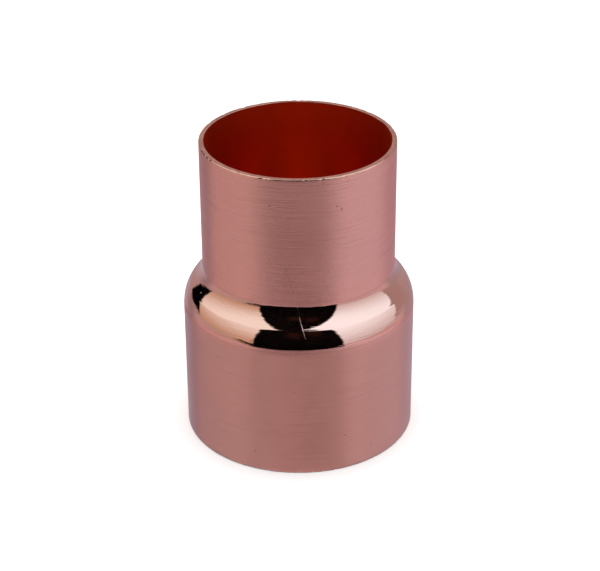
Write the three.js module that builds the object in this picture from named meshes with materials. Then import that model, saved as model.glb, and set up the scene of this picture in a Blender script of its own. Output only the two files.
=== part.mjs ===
// Concentric reducer for capillary-soldered copper pipe: a 42 mm socket below, a 35 mm socket above.
//
// The real fitting is one seamless piece of copper tube. Its two ends are sized as sockets, and the
// wall between them is swaged in to a rounded shoulder and a narrower neck, all about one axis. So
// the model is one turned solid.
//
// Lengths are in millimetres. The axis is +Z, the small socket points up, and the origin is the
// centre of the large end's face.

import * as THREE from 'three';

// ---------------------------------------------------------------- driving dimensions

// The pipes that the two sockets take, by outside diameter.
const LARGE_PIPE_DIAMETER = 42;
const SMALL_PIPE_DIAMETER = 35;

// Each socket is wider than its pipe by this much on the radius: the gap that solder is drawn into.
const SOLDER_GAP = 0.06;

const LARGE_SOCKET_DEPTH = 27;
const SMALL_SOCKET_DEPTH = 23;
const LARGE_WALL = 1.24;
const SMALL_WALL = 0.94;

// The wall starts to curve in a little before the large pipe reaches its full depth.
const SHOULDER_LEAD = 1.2;

// Outside, the step between the two ends is a convex shoulder that meets a concave neck at a crease.
// The leans say how far the surface has turned from upright where each of them meets the crease.
const SHOULDER_SHARE = 0.38;
const SHOULDER_LEAN = THREE.MathUtils.degToRad(36);
const NECK_LEAN = THREE.MathUtils.degToRad(57);

// Above the neck the bore is straight, and a step in it stops the small pipe.
const THROAT_LENGTH = 2.1;
const PIPE_STOP_HEIGHT = 0.5;

// Both ends are cut square, with their edges just broken.
const RIM_CHAMFER = 0.15;

// How finely the round shapes are divided.
const SIDES = 72;
const ARC_STEPS = 7;

const COPPER = { color: 0xb87a6b, roughness: 0.35, metalness: 1 };

// ---------------------------------------------------------------- sizes that follow

const largeBore = LARGE_PIPE_DIAMETER / 2 + SOLDER_GAP;
const smallBore = SMALL_PIPE_DIAMETER / 2 + SOLDER_GAP;
const throat = smallBore - PIPE_STOP_HEIGHT;
const largeRadius = largeBore + LARGE_WALL;
const smallRadius = smallBore + SMALL_WALL;
const shoulderStart = LARGE_SOCKET_DEPTH - SHOULDER_LEAD;

// ---------------------------------------------------------------- outline

/** Points on an arc about (x, y), from one angle to another, both ends included. */
function arc(x, y, radius, from, to) {
  const points = [];
  for (let step = 0; step <= ARC_STEPS; step += 1) {
    const angle = THREE.MathUtils.lerp(from, to, step / ARC_STEPS);
    points.push(new THREE.Vector2(x + radius * Math.cos(angle), y + radius * Math.sin(angle)));
  }
  return points;
}

/**
 * The curve that draws a tube in from lowRadius to highRadius, starting upright at lowHeight and
 * ending upright: a convex arc that takes lowShare of the step and turns by lowLean, then a concave
 * arc that turns back by highLean. With equal leans the two arcs meet smoothly.
 */
function drawnIn(lowRadius, highRadius, lowHeight, lowShare, lowLean, highLean) {
  const step = lowRadius - highRadius;
  const convex = (step * lowShare) / (1 - Math.cos(lowLean));
  const concave = (step * (1 - lowShare)) / (1 - Math.cos(highLean));
  const highHeight = lowHeight + convex * Math.sin(lowLean) + concave * Math.sin(highLean);
  return [
    ...arc(lowRadius - convex, lowHeight, convex, 0, lowLean),
    ...arc(highRadius + concave, highHeight, concave, Math.PI + highLean, Math.PI),
  ];
}

/** A square-cut rim between two radii, from inside to outside. Its body lies on bodySide (1 is up). */
function rim(innerRadius, outerRadius, height, bodySide) {
  const edge = height + bodySide * RIM_CHAMFER;
  return [
    new THREE.Vector2(innerRadius, edge),
    new THREE.Vector2(innerRadius + RIM_CHAMFER, height),
    new THREE.Vector2(outerRadius - RIM_CHAMFER, height),
    new THREE.Vector2(outerRadius, edge),
  ];
}

/** The closed outline of the wall: up the outside, over the small rim, down the bore and back. */
function wallOutline() {
  const outside = drawnIn(
    largeRadius, smallRadius, shoulderStart, SHOULDER_SHARE, SHOULDER_LEAN, NECK_LEAN,
  );
  const neckTop = outside.at(-1).y;

  // Inside, two equal arcs span the same height, so that the wall stays about as thick all along.
  const insideLean = 2 * Math.atan((largeBore - throat) / (neckTop - shoulderStart));
  const inside = drawnIn(largeBore, throat, shoulderStart, 0.5, insideLean, insideLean);

  const stop = neckTop + THROAT_LENGTH;
  const length = stop + SMALL_SOCKET_DEPTH;
  const largeRim = rim(largeBore, largeRadius, 0, 1);
  return [
    ...largeRim,
    ...outside,
    ...rim(smallBore, smallRadius, length, -1).reverse(),
    new THREE.Vector2(smallBore, stop),
    new THREE.Vector2(throat, stop),
    ...inside.reverse(),
    largeRim[0],
  ];
}

// ---------------------------------------------------------------- the solid

/** The turned copper wall. LatheGeometry turns its outline about +Y, which is then stood up on +Z. */
function reducerBody() {
  const geometry = new THREE.LatheGeometry(wallOutline(), SIDES);
  geometry.rotateX(Math.PI / 2);
  const body = new THREE.Mesh(geometry, new THREE.MeshStandardMaterial(COPPER));
  body.name = 'reducer_body';
  return body;
}

const reducer = new THREE.Group();
reducer.add(reducerBody());

export default reducer;
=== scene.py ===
"""Looks of a copper concentric reducer: brushed outside, polished on the shoulder, redder in the bore,
where the red is a painted reflection.
"""
import math

import bpy
from mathutils import Matrix, Vector, noise


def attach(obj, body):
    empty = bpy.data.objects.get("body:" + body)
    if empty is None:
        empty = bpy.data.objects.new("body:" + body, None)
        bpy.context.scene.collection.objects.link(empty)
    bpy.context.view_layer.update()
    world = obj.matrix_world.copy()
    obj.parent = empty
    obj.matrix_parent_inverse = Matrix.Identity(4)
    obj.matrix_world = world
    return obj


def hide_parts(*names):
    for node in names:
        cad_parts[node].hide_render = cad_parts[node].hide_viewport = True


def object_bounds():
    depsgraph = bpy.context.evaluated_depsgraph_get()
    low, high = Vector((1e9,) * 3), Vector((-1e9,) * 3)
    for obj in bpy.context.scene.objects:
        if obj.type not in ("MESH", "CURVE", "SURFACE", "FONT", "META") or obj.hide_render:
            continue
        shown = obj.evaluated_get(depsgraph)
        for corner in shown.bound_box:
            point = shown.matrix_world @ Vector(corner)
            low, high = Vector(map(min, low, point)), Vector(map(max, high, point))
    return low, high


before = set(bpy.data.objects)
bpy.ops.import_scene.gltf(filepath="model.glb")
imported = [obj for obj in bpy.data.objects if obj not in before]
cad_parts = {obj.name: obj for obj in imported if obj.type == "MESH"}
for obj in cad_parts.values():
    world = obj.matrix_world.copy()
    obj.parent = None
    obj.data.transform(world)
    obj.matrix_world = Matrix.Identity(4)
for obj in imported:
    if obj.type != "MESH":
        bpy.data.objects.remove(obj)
cad_low, cad_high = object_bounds()

MM = 0.001

# ---------------------------------------------------------------- sizes, in millimetres


def cad_rings():
    """The CAD wall's outline as (radius, height) in millimetres, read on the +X side of the solid."""
    corners = [v.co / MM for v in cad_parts["reducer_body"].data.vertices]
    side = [c for c in corners if c.x > 0 and abs(c.y) < 0.01]
    return [(c.x, c.z) for c in side]


# Two radii closer than CLOSE are the same, and a ring within NEAR_END of an end belongs to its rim.
CLOSE = 0.01
NEAR_END = 1

rings = cad_rings()
LENGTH = cad_high.z / MM
LARGE_RADIUS = cad_high.x / MM
SMALL_RADIUS = max(r for r, z in rings if z > LENGTH - NEAR_END)
SMALL_BORE = min(r for r, z in rings if z > LENGTH - NEAR_END)
LARGE_BORE = min(r for r, z in rings if z < NEAR_END)
THROAT = min(r for r, z in rings)
SHOULDER_START = max(z for r, z in rings if r > LARGE_RADIUS - CLOSE)
NECK_TOP = min(z for r, z in rings if abs(r - SMALL_RADIUS) < CLOSE)
PIPE_STOP = max(z for r, z in rings if r < THROAT + CLOSE)

# The outside step: a convex shoulder that takes this share of it, and a concave neck. The leans say
# how far the surface has turned from upright where each of them meets the crease between them.
SHOULDER_SHARE = 0.38
SHOULDER_LEAN = math.radians(36)
NECK_LEAN = math.radians(57)

# Roundings of the rims' outer and inner edges, and of the pipe stop's edge.
RIM_ROUND = 0.2
RIM_INNER_ROUND = 0.05
STOP_ROUND = 0.1

# Nicks in the rims come from noise, finer when NICK_SCALE is larger. Only the noise above the
# threshold bites into the metal.
NICK_DEPTH = 0.18
NICK_SCALE = 1.4
NICK_THRESHOLD = 0.22

# The drawn wall is never quite straight.
WAVINESS = 0.008
WAVE_SCALE_ACROSS = 0.25
WAVE_SCALE_UP = 0.2

# A faint ring left by the swaging tool, and the band above it that is polished.
TOOL_RING = SHOULDER_START + 0.45
TOOL_RING_HALF = 0.15
POLISH_LOW = SHOULDER_START + 1.2
POLISH_HIGH = NECK_TOP - 0.36

# A scratch leans across the front. It turns towards the left by this many degrees for each
# millimetre up, and its line would meet the floor this many degrees to the right of the front.
SCRATCH_LEAN = 0.835
SCRATCH_FOOT = 27.4
SCRATCH_LOW = SHOULDER_START + 3.2
SCRATCH_HEIGHT = 14

# How finely the mesh is divided.
AROUND = 400
ROW_HEIGHT = 0.6
SHOULDER_STEPS = 40
BORE_STEPS = 20
STOP_STEPS = 4
RIM_OUTER_STEPS = 5
RIM_INNER_STEPS = 3

# ---------------------------------------------------------------- the turned wall

OUTSIDE, RIM, BORE = range(3)


def arc(x, y, radius, start, end, steps):
    """Points on an arc about (x, y), angles in radians."""
    angles = [start + (end - start) * i / steps for i in range(steps + 1)]
    return [(x + radius * math.cos(a), y + radius * math.sin(a)) for a in angles]


def straight(radius, start, end):
    """Points up or down an upright wall, with the start but not the end."""
    steps = max(2, round(abs(end - start) / ROW_HEIGHT))
    return [(radius, start + (end - start) * i / steps) for i in range(steps)]


def drawn_in(low_radius, high_radius, low_height, share, low_lean, high_lean, steps):
    """The curve that draws a tube in: a convex arc, then a concave one. Both ends are upright."""
    step = low_radius - high_radius
    convex = step * share / (1 - math.cos(low_lean))
    concave = step * (1 - share) / (1 - math.cos(high_lean))
    high_height = low_height + convex * math.sin(low_lean) + concave * math.sin(high_lean)
    return (
        arc(low_radius - convex, low_height, convex, 0, low_lean, steps),
        arc(high_radius + concave, high_height, concave, math.pi + high_lean, math.pi, steps),
    )


def outside_points():
    """The outside wall, from the top of the large rim's rounding to just under the small rim's."""
    shoulder, neck = drawn_in(
        LARGE_RADIUS,
        SMALL_RADIUS,
        SHOULDER_START,
        SHOULDER_SHARE,
        SHOULDER_LEAN,
        NECK_LEAN,
        SHOULDER_STEPS,
    )
    return (
        straight(LARGE_RADIUS, RIM_ROUND, SHOULDER_START)
        + shoulder
        + neck[1:-1]
        + straight(SMALL_RADIUS, NECK_TOP, LENGTH - RIM_ROUND)
    )


def bore_points():
    """The bore, from just under the small rim down to just over the large rim."""
    lean = 2 * math.atan((LARGE_BORE - THROAT) / (NECK_TOP - SHOULDER_START))
    low, high = drawn_in(LARGE_BORE, THROAT, SHOULDER_START, 0.5, lean, lean, BORE_STEPS)
    stop_edge = arc(
        THROAT + STOP_ROUND,
        PIPE_STOP - STOP_ROUND,
        STOP_ROUND,
        math.pi / 2,
        math.pi,
        STOP_STEPS,
    )
    return (
        straight(SMALL_BORE, LENGTH - RIM_ROUND, PIPE_STOP)
        + [(SMALL_BORE, PIPE_STOP)]
        + stop_edge[:-1]
        + straight(THROAT, PIPE_STOP - STOP_ROUND, NECK_TOP)
        + (low + high[1:])[:0:-1]
        + straight(LARGE_BORE, SHOULDER_START, RIM_ROUND)
    )


def rim_outer_edge(radius, height, start):
    """The quarter round of a rim's outer edge, about a centre at this height."""
    return arc(radius - RIM_ROUND, height, RIM_ROUND, start, start + math.pi / 2, RIM_OUTER_STEPS)


def rim_inner_edge(bore, height, start):
    """The smaller quarter round of a rim's inner edge, about a centre at this height."""
    return arc(
        bore + RIM_INNER_ROUND,
        height,
        RIM_INNER_ROUND,
        start,
        start + math.pi / 2,
        RIM_INNER_STEPS,
    )


def small_rim_points():
    """The small rim, from its outer edge over the top to its inner edge."""
    outer = rim_outer_edge(SMALL_RADIUS, LENGTH - RIM_ROUND, 0)
    return outer + rim_inner_edge(SMALL_BORE, LENGTH - RIM_INNER_ROUND, math.pi / 2)


def large_rim_points():
    """The large rim, from its inner edge under the bottom to where the outside wall begins."""
    outer = rim_outer_edge(LARGE_RADIUS, RIM_ROUND, 1.5 * math.pi)
    return rim_inner_edge(LARGE_BORE, RIM_INNER_ROUND, math.pi) + outer[:-1]


def worn(r, z, angle, index):
    """
    A wall point in metres, after wear. On the small rim the nicks fade out towards the inner edge.
    The large rim lies wholly outside the small end's radius, so its nicks have their full depth.
    """
    x = r * math.cos(angle)
    y = r * math.sin(angle)
    if index == RIM:
        nick = max(0, noise.noise(Vector((x * NICK_SCALE, y * NICK_SCALE, z))) - NICK_THRESHOLD)
        into_the_metal = 1 if z < LENGTH / 2 else -1
        outwards = max(0, min(1, (r - SMALL_BORE) / (SMALL_RADIUS - SMALL_BORE)))
        z += into_the_metal * (NICK_DEPTH * nick * outwards)
        r -= NICK_DEPTH * nick * outwards
    else:
        spot = Vector((x * WAVE_SCALE_ACROSS, y * WAVE_SCALE_ACROSS, z * WAVE_SCALE_UP))
        r += WAVINESS * noise.noise(spot)
    return r * math.cos(angle) * MM, r * math.sin(angle) * MM, z * MM


def turned_wall(sections):
    """A closed mesh from (points, material index) sections that follow each other round the wall."""
    outline = [(r, z, index) for points, index in sections for r, z in points]
    vertices = []
    for r, z, index in outline:
        for i in range(AROUND):
            vertices.append(worn(r, z, 2 * math.pi * i / AROUND, index))
    faces = []
    materials = []
    for k, (_, _, index) in enumerate(outline):
        above = (k + 1) % len(outline)
        for i in range(AROUND):
            j = (i + 1) % AROUND
            faces.append(
                (k * AROUND + i, k * AROUND + j, above * AROUND + j, above * AROUND + i)
            )
            materials.append(index)
    mesh = bpy.data.meshes.new("reducer_copper")
    mesh.from_pydata(vertices, [], faces)
    mesh.polygons.foreach_set("material_index", materials)
    mesh.polygons.foreach_set("use_smooth", [True] * len(faces))
    mesh.validate()
    return mesh


wall = turned_wall(
    [
        (outside_points(), OUTSIDE),
        (small_rim_points(), RIM),
        (bore_points(), BORE),
        (large_rim_points(), RIM),
    ]
)
reducer = bpy.data.objects.new("reducer_copper", wall)
bpy.context.scene.collection.objects.link(reducer)

# ---------------------------------------------------------------- node helpers


class Tree:
    """Adds nodes to a node tree. An input may be another node's socket or a plain value."""

    def __init__(self, tree):
        self.tree = tree
        tree.nodes.clear()

    def node(self, kind, inputs=(), **settings):
        made = self.tree.nodes.new(kind)
        for name, value in settings.items():
            setattr(made, name, value)
        for socket, value in dict(inputs).items():
            if isinstance(value, bpy.types.NodeSocket):
                self.tree.links.new(value, made.inputs[socket])
            else:
                made.inputs[socket].default_value = value
        return made

    def math(self, operation, a, b=0.0, c=0.0):
        made = self.node("ShaderNodeMath", {0: a, 1: b, 2: c}, operation=operation)
        return made.outputs[0]

    def product(self, *factors):
        result = factors[0]
        for factor in factors[1:]:
            result = self.math("MULTIPLY", result, factor)
        return result

    def smooth(self, value, low, high, to_low=0.0, to_high=1.0):
        """value's smooth step from low to high, as a number from to_low to to_high."""
        made = self.node(
            "ShaderNodeMapRange",
            {"Value": value, "From Min": low, "From Max": high, "To Min": to_low, "To Max": to_high},
            interpolation_type="SMOOTHSTEP",
        )
        return made.outputs["Result"]

    def window(self, value, low, high, soft):
        """1 between low and high, 0 outside, with edges as wide as soft."""
        up = self.smooth(value, low - soft / 2, low + soft / 2)
        down = self.smooth(value, high - soft / 2, high + soft / 2, 1.0, 0.0)
        return self.math("MULTIPLY", up, down)

    def mix(self, factor, a, b):
        """A colour from a (factor 0) to b (factor 1)."""
        made = self.node("ShaderNodeMix", {0: factor, 6: a, 7: b}, data_type="RGBA")
        return made.outputs[2]

    def between(self, factor, a, b):
        """A number from a (factor 0) to b (factor 1)."""
        return self.node("ShaderNodeMix", {0: factor, 2: a, 3: b}).outputs[0]

    def dot(self, a, b):
        made = self.node("ShaderNodeVectorMath", {0: a, 1: b}, operation="DOT_PRODUCT")
        return made.outputs["Value"]

    def bearing(self, split):
        """Radians round the Z axis: 0 at the front (-Y), growing towards +X."""
        frontward = self.math("MULTIPLY", split.outputs["Y"], -1)
        return self.math("ARCTAN2", split.outputs["X"], frontward)

    def ramp(self, turn, stops):
        """Colours by azimuth: turn is 0 at -180 degrees and 1 at 180 degrees."""
        made = self.node("ShaderNodeValToRGB", {"Fac": turn})
        bar = made.color_ramp
        bar.interpolation = "EASE"
        while len(bar.elements) < len(stops):
            bar.elements.new(0.5)
        for element, (azimuth, colour) in zip(bar.elements, stops):
            element.position = azimuth / 360 + 0.5
            element.color = (*colour, 1)
        return made.outputs["Color"]

    def place(self):
        """The point on the object, in metres."""
        return self.node("ShaderNodeTexCoord").outputs["Object"]

    def stretched(self, vector, x, y, z):
        return self.node("ShaderNodeMapping", {"Vector": vector, "Scale": (x, y, z)}).outputs[0]

    def noise(self, vector, scale=1.0, detail=2.0, roughness=0.5):
        made = self.node(
            "ShaderNodeTexNoise",
            {"Vector": vector, "Scale": scale, "Detail": detail, "Roughness": roughness},
        )
        return made.outputs["Fac"]

    def bump(self, height, strength, distance):
        made = self.node(
            "ShaderNodeBump",
            {"Height": height, "Strength": strength, "Distance": distance},
        )
        return made.outputs[0]

    def principled(self, inputs):
        """The material's one surface shader."""
        shader = self.node("ShaderNodeBsdfPrincipled", inputs)
        self.node("ShaderNodeOutputMaterial", {"Surface": shader.outputs[0]})


def new_material(name):
    material = bpy.data.materials.new(name)
    material.use_nodes = True
    return material, Tree(material.node_tree)


# ---------------------------------------------------------------- copper, outside

SATIN = (0.92, 0.40, 0.37, 1)
SATIN_LINE = (0.66, 0.27, 0.25, 1)
SATIN_BLOTCH = (0.87, 0.38, 0.32, 1)
SATIN_GRAIN = (0.75, 0.32, 0.29, 1)
SATIN_TOOL_RING = (0.66, 0.22, 0.18, 1)
# The large wall's darker, warmer copper is a painted reflection of copper-tinted light off the floor near
# the base.
LOW_WALL_PAINTED_REFLECTION = (0.79, 0.34, 0.30, 1)
POLISHED = (0.80, 0.47, 0.42, 1)
MARKED = (0.35, 0.14, 0.12, 1)

SATIN_ROUGHNESS = 0.44
POLISHED_ROUGHNESS = 0.045
MARK_ROUGHNESS = 0.3
BRUSH_DEPTH = 0.00006


def polished_band(t, place, height):
    """Where the surface is polished, with slightly ragged edges, and where its colour is paler."""
    ragged = t.math("MULTIPLY_ADD", t.noise(t.stretched(place, 150, 150, 900), 1, 3), 0.35, -0.17)
    ragged_height = t.math("ADD", height, ragged)
    polished = t.product(
        t.smooth(ragged_height, POLISH_LOW - 0.08, POLISH_LOW + 0.08),
        t.smooth(ragged_height, POLISH_HIGH - 0.25, POLISH_HIGH + 0.3, 1.0, 0.0),
    )
    pale = t.product(
        t.smooth(height, POLISH_LOW - 0.1, POLISH_LOW + 0.5),
        t.smooth(height, POLISH_HIGH - 0.6, POLISH_HIGH + 0.1, 1.0, 0.0),
    )
    return polished, pale


def pits(t, place, polished):
    """Tiny round pits, fainter on the polished band."""
    cells = t.node(
        "ShaderNodeTexVoronoi",
        {"Vector": t.stretched(place, 400, 400, 280), "Scale": 1.0},
    )
    inside = t.smooth(cells.outputs["Distance"], 0.03, 0.07, 1, 0)
    return t.product(inside, t.smooth(polished, 0, 1, 1, 0.4))


def scratch(t, place, split, height, polished):
    """One long thin scratch across the front, uneven along its length."""
    degrees = t.math("DEGREES", t.bearing(split))
    from_foot = t.math("MULTIPLY_ADD", height, SCRATCH_LEAN, -SCRATCH_FOOT)
    wander = t.math("MULTIPLY_ADD", t.noise(t.stretched(place, 300, 300, 300), 1, 2), 1.2, -0.6)
    aside = t.math("ABSOLUTE", t.math("ADD", t.math("ADD", degrees, from_foot), wander))
    return t.product(
        t.smooth(aside, 0.06, 0.2, 1, 0),
        t.window(height, SCRATCH_LOW, SCRATCH_LOW + SCRATCH_HEIGHT, 3.0),
        t.smooth(t.noise(place, 500, 2), 0.35, 0.6, 0.25, 1.0),
        t.smooth(polished, 0, 1, 1, 0.5),
    )


def copper_outside():
    """Satin copper brushed round the wall, with a polished band and a few handling marks."""
    material, t = new_material("copper_outside")
    place = t.place()
    split = t.node("ShaderNodeSeparateXYZ", {0: place})
    height = t.math("DIVIDE", split.outputs["Z"], MM)
    low_wall = t.smooth(height, SHOULDER_START - 1, SHOULDER_START + 1, 1, 0)
    tool_ring = t.window(height, TOOL_RING - TOOL_RING_HALF, TOOL_RING + TOOL_RING_HALF, 0.2)

    # fine lines left by brushing run round the wall, deeper here and there
    lines = t.noise(t.stretched(place, 75, 75, 4600), 1, 3, 0.6)
    brushing = t.smooth(t.noise(t.stretched(place, 110, 110, 110), 1, 3, 0.5), 0.35, 0.65, 0.3, 1.0)
    grain = t.noise(t.stretched(place, 900, 900, 1800), 1, 2, 0.6)
    blotches = t.noise(t.stretched(place, 130, 130, 90), 1, 3, 0.55)
    streaks = t.noise(t.stretched(place, 260, 260, 2300), 1, 2, 0.5)

    polished, pale = polished_band(t, place, height)
    marks = t.math("MAXIMUM", pits(t, place, polished), scratch(t, place, split, height, polished))

    line_tint = t.product(brushing, t.smooth(lines, 0.46, 0.68, 0, 0.45))
    colour = t.mix(line_tint, SATIN, SATIN_LINE)
    colour = t.mix(t.smooth(blotches, 0.35, 0.7, 0, 0.3), colour, SATIN_BLOTCH)
    colour = t.mix(t.smooth(grain, 0.3, 0.7, 0, 0.12), colour, SATIN_GRAIN)
    colour = t.mix(t.math("MULTIPLY", tool_ring, 0.3), colour, SATIN_TOOL_RING)
    # painted reflection: the large wall below the shoulder is darkened and warmed as if mirroring
    # copper-tinted light off the floor
    colour = t.mix(t.math("MULTIPLY", low_wall, 0.5), colour, LOW_WALL_PAINTED_REFLECTION)
    colour = t.mix(pale, colour, POLISHED)
    colour = t.mix(t.math("MULTIPLY", marks, 0.7), colour, MARKED)

    rough = t.math("MULTIPLY_ADD", low_wall, -0.06, SATIN_ROUGHNESS)
    rough = t.math("MULTIPLY_ADD", t.math("SUBTRACT", blotches, 0.5), 0.12, rough)
    rough = t.between(polished, rough, POLISHED_ROUGHNESS)
    rough = t.between(marks, rough, MARK_ROUGHNESS)

    # the small end is brushed more deeply than the large one, and the polished band least of all
    relief = t.math("ADD", lines, t.math("MULTIPLY", grain, 0.3))
    relief = t.between(polished, relief, streaks)
    relief = t.math("SUBTRACT", relief, marks)
    strength = t.math("MULTIPLY_ADD", low_wall, -0.8, 1.7)
    strength = t.between(polished, strength, 0.8)

    t.principled(
        {
            "Base Color": colour,
            "Metallic": 1.0,
            "Roughness": rough,
            "Anisotropic": 0.9,
            "Anisotropic Rotation": 0.25,
            "Normal": t.bump(relief, t.math("MULTIPLY", brushing, strength), BRUSH_DEPTH),
        }
    )
    return material


# ---------------------------------------------------------------- copper, rims and bore

RIM_DARK = (0.66, 0.34, 0.26, 1)
RIM_LIGHT = (0.76, 0.43, 0.34, 1)
RIM_TURNING_DEPTH = 0.000015
# BORE_LIGHT and BORE_DARK hold painted reflection: the bore's deep red stands for light reddened by
# bouncing between copper walls.
BORE_LIGHT = (0.75, 0.10, 0.013, 1)
BORE_DARK = (0.71, 0.085, 0.011, 1)
BORE_GRAIN_DEPTH = 0.00002


def copper_rim():
    """Bright cut copper, with rings left by turning."""
    material, t = new_material("copper_rim")
    place = t.place()
    split = t.node("ShaderNodeSeparateXYZ", {0: place})
    x = split.outputs["X"]
    y = split.outputs["Y"]
    radius = t.math("SQRT", t.math("ADD", t.product(x, x), t.product(y, y)))
    turning = t.node(
        "ShaderNodeTexNoise",
        {"W": t.math("MULTIPLY", radius, 9000), "Scale": 1.0, "Detail": 2.0},
        noise_dimensions="1D",
    ).outputs["Fac"]
    grain = t.noise(t.stretched(place, 700, 700, 700), 1, 3, 0.6)
    t.principled(
        {
            "Base Color": t.mix(t.smooth(grain, 0.4, 0.65), RIM_DARK, RIM_LIGHT),
            "Metallic": 1.0,
            "Roughness": t.smooth(grain, 0.3, 0.7, 0.12, 0.24),
            "Anisotropic": 0.6,
            "Anisotropic Rotation": 0.25,
            "Normal": t.bump(t.math("ADD", grain, turning), 0.5, RIM_TURNING_DEPTH),
        }
    )
    return material


def copper_bore():
    """Smooth copper with the deep red the bore shows, which is a painted reflection: the red that light
    takes on from bouncing between the copper walls.
    """
    material, t = new_material("copper_bore")
    place = t.place()
    blotches = t.noise(t.stretched(place, 60, 60, 30), 1, 1, 0.4)
    grain = t.noise(t.stretched(place, 600, 600, 400), 1, 2, 0.5)
    t.principled(
        {
            "Base Color": t.mix(blotches, BORE_LIGHT, BORE_DARK),
            "Metallic": 1.0,
            "Roughness": t.math("MULTIPLY_ADD", grain, 0.06, 0.27),
            "Normal": t.bump(grain, 0.1, BORE_GRAIN_DEPTH),
        }
    )
    return material


for material in (copper_outside(), copper_rim(), copper_bore()):
    wall.materials.append(material)

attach(reducer, "root")
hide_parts("reducer_body")

# ---------------------------------------------------------------- floor

# Half the floor's width, in metres, and how far under the object it lies, in millimetres. The gap
# keeps it out of the bottom rim's plane.
FLOOR_HALF = 3.0
FLOOR_GAP = 0.02
FLOOR_WHITE = (0.8, 0.8, 0.8, 1)


def floor():
    """A plain white floor that the copper doesn't mirror: the light tent has its own table."""
    level = -FLOOR_GAP * MM
    mesh = bpy.data.meshes.new("floor")
    mesh.from_pydata(
        [
            (-FLOOR_HALF, -FLOOR_HALF, level),
            (FLOOR_HALF, -FLOOR_HALF, level),
            (FLOOR_HALF, FLOOR_HALF, level),
            (-FLOOR_HALF, FLOOR_HALF, level),
        ],
        [],
        [(0, 1, 2, 3)],
    )
    material, t = new_material("floor_white")
    t.principled({"Base Color": FLOOR_WHITE, "Roughness": 1.0, "Specular IOR Level": 0.0})
    mesh.materials.append(material)
    made = bpy.data.objects.new("floor", mesh)
    bpy.context.scene.collection.objects.link(made)
    made.visible_glossy = False


# ---------------------------------------------------------------- the light tent

# The table that the copper mirrors, as colours by azimuth: close to the object, and further off.
NEAR_TABLE = (
    (-180, (0.52, 0.62, 0.74)),
    (-155, (0.52, 0.84, 1.06)),
    (-130, (0.12, 0.25, 0.33)),
    (-110, (0.20, 0.37, 0.44)),
    (-48, (0.42, 0.48, 0.53)),
    (-40, (0.74, 0.73, 0.71)),
    (40, (0.68, 0.66, 0.64)),
    (48, (0.32, 0.27, 0.26)),
    (110, (0.22, 0.34, 0.40)),
    (130, (0.32, 0.52, 0.64)),
    (155, (0.46, 0.84, 1.06)),
    (180, (0.52, 0.62, 0.74)),
)
FAR_TABLE = (
    (-180, (0.46, 0.38, 0.43)),
    (-150, (0.50, 0.42, 0.47)),
    (-130, (0.35, 0.28, 0.30)),
    (-110, (0.57, 0.46, 0.45)),
    (-48, (0.52, 0.49, 0.44)),
    (-40, (0.64, 0.64, 0.63)),
    (40, (0.64, 0.64, 0.63)),
    (48, (0.60, 0.56, 0.56)),
    (110, (0.64, 0.54, 0.54)),
    (130, (0.44, 0.37, 0.39)),
    (150, (0.44, 0.36, 0.40)),
    (180, (0.46, 0.38, 0.43)),
)

BESIDE = (0.45, 0.36, 0.34, 1)
BEHIND = (0.49, 0.40, 0.40, 1)
LEFT_WALL_LOW = (0.60, 0.43, 0.27, 1)
LEFT_WALL_HIGH = (1.13, 1.32, 1.23, 1)
RIGHT_WALL_LOW = (0.66, 0.64, 0.62, 1)
RIGHT_WALL_HIGH = (1.25, 1.65, 1.75, 1)
OPEN_DARK = (0.001, 0.0006, 0.0006, 1)
WEDGE_BLACK = (0.0, 0.0, 0.0, 1)
LAMP_GLOW = (0.06, 0.02, 0.008, 1)

# The two ends of the right wall's front edge, as (azimuth, elevation) in degrees.
RIGHT_FRONT_TOP = (27, 67)
RIGHT_FRONT_FOOT = (42.5, -5)

# What diffuse rays meet, bright enough to bring the floor to pure white, and what the camera sees.
FLOOR_LIGHT = (1.8, 1.8, 1.8, 1)
BACKDROP = (1.0, 1.0, 1.0, 1)


def toward(azimuth, elevation):
    """The direction at these degrees: azimuth 0 is towards the camera and grows to its right."""
    a = math.radians(azimuth)
    e = math.radians(elevation)
    return Vector((math.cos(e) * math.sin(a), -math.cos(e) * math.cos(a), math.sin(e)))


def edge(t, direction, start, end, soft=0.05):
    """
    1 on one side of the straight edge through start and end, 0 on the other. With azimuth drawn to
    the right and elevation up, the side that is 1 is on the left when going from start to end.
    """
    normal = toward(*start).cross(toward(*end)).normalized()
    return t.smooth(t.dot(direction, normal), -soft / 2, soft / 2)


def left_wall_mask(t, direction, above_table, under_top):
    """The left wall: two edges bound it towards the front, and a leaning one towards the back."""
    return t.product(
        above_table,
        under_top,
        edge(t, direction, (-44, -7), (-42, 36)),
        edge(t, direction, (-42, 36), (-52, 72)),
        edge(t, direction, (-131, 32), (-112, 0)),
    )


def right_wall_mask(t, direction, rise, under_top):
    """The right wall, which reaches a little lower than the left one."""
    return t.product(
        t.smooth(rise, -0.22, -0.10),
        under_top,
        edge(t, direction, (106.5, 0), (124, 36)),
        edge(t, direction, RIGHT_FRONT_TOP, RIGHT_FRONT_FOOT),
    )


def front_mask(t, direction):
    """The open front: above the table's near edge, as far as the walls to the left and right."""
    return t.product(
        edge(t, direction, (-90, 0), (0, -21), 0.08),
        edge(t, direction, (-62, 60), (-62, -20), 0.2),
        edge(t, direction, RIGHT_FRONT_FOOT, RIGHT_FRONT_TOP),
    )


def wedge_mask(t, direction, rise):
    """A dark wedge beyond the left wall's back edge."""
    return t.product(
        t.smooth(rise, -0.09, -0.03),
        edge(t, direction, (-146, 20), (-134, -5), 0.06),
        edge(t, direction, (-100, 26), (-141, 31), 0.15),
    )


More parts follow.
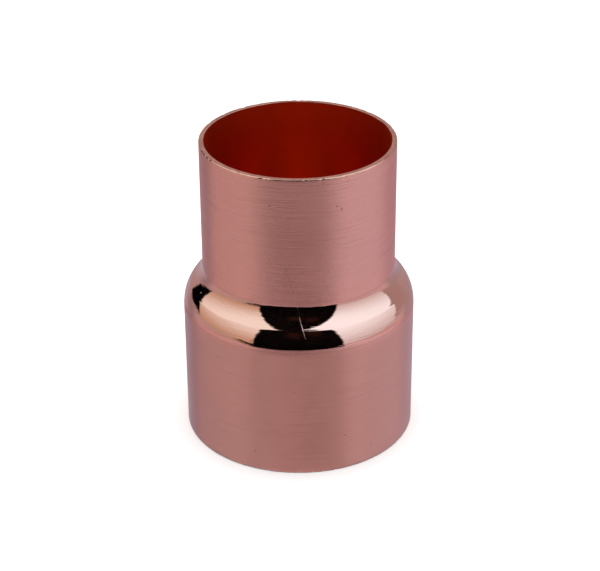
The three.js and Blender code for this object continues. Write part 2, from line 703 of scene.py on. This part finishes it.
def surroundings():
    """
    A light tent that only mirror rays see: a table, a back wall, bright walls left and right, and an
    open dark front and top, with two dim warm lamps. Each layer covers the ones before it.
    """
    world = bpy.data.worlds.new("light_tent")
    bpy.context.scene.world = world
    world.use_nodes = True
    t = Tree(world.node_tree)
    direction = t.node("ShaderNodeTexCoord").outputs["Generated"]
    split = t.node("ShaderNodeSeparateXYZ", {0: direction})
    rise = split.outputs["Z"]
    away = split.outputs["Y"]
    turn = t.math("MULTIPLY_ADD", t.bearing(split), 0.5 / math.pi, 0.5)
    above_table = t.smooth(rise, -0.16, -0.06)
    under_top = t.smooth(rise, 0.972, 0.985, 1, 0)

    far = t.smooth(rise, -0.48, -0.425)
    table = t.mix(far, t.ramp(turn, NEAR_TABLE), t.ramp(turn, FAR_TABLE))
    back_wall = t.mix(t.smooth(away, 0.64, 0.8), BESIDE, BEHIND)
    left_wall = t.mix(t.smooth(rise, -0.25, 0.85), LEFT_WALL_LOW, LEFT_WALL_HIGH)
    right_wall = t.mix(t.smooth(rise, -0.5, 0.85), RIGHT_WALL_LOW, RIGHT_WALL_HIGH)

    light = t.mix(above_table, table, back_wall)
    light = t.mix(under_top, OPEN_DARK, light)
    light = t.mix(front_mask(t, direction), light, OPEN_DARK)
    for lamp in (toward(16, 35), toward(-5, 32)):
        glow = t.smooth(t.dot(direction, lamp), 0.985, 1.0, 0, 0.3)
        light = t.mix(glow, light, LAMP_GLOW)
    light = t.mix(wedge_mask(t, direction, rise), light, WEDGE_BLACK)
    light = t.mix(left_wall_mask(t, direction, above_table, under_top), light, left_wall)
    light = t.mix(right_wall_mask(t, direction, rise, under_top), light, right_wall)

    ray = t.node("ShaderNodeLightPath")
    plain = t.mix(ray.outputs["Is Camera Ray"], FLOOR_LIGHT, BACKDROP)
    colour = t.mix(ray.outputs["Is Glossy Ray"], plain, light)
    background = t.node("ShaderNodeBackground", {"Color": colour, "Strength": 1.0})
    t.node("ShaderNodeOutputWorld", {"Surface": background.outputs[0]})


# ---------------------------------------------------------------- camera

CAMERA_ELEVATION = math.radians(28.26)
CAMERA_ROLL = math.radians(-0.396)
CAMERA_DISTANCE = 348.2


def camera():
    """The photograph's view: from the front, looking down, slightly rolled."""
    data = bpy.data.cameras.new("camera")
    data.lens = 107.95
    data.sensor_width = 36
    data.shift_x = 0.00215
    data.shift_y = -0.00955
    data.clip_start = 0.01
    data.clip_end = 20
    made = bpy.data.objects.new("camera", data)
    bpy.context.scene.collection.objects.link(made)
    centre = Vector((0, 0, LENGTH / 2 * MM))
    back = Vector((0, -math.cos(CAMERA_ELEVATION), math.sin(CAMERA_ELEVATION)))
    turned = (-back).to_track_quat("-Z", "Y").to_matrix() @ Matrix.Rotation(CAMERA_ROLL, 3, "Z")
    spot = Matrix.Translation(centre + back * (CAMERA_DISTANCE * MM))
    made.matrix_world = spot @ turned.to_4x4()
    bpy.context.scene.camera = made


floor()
surroundings()
camera()

scene = bpy.context.scene
scene.view_settings.view_transform = "Standard"
scene.cycles.glossy_bounces = 8
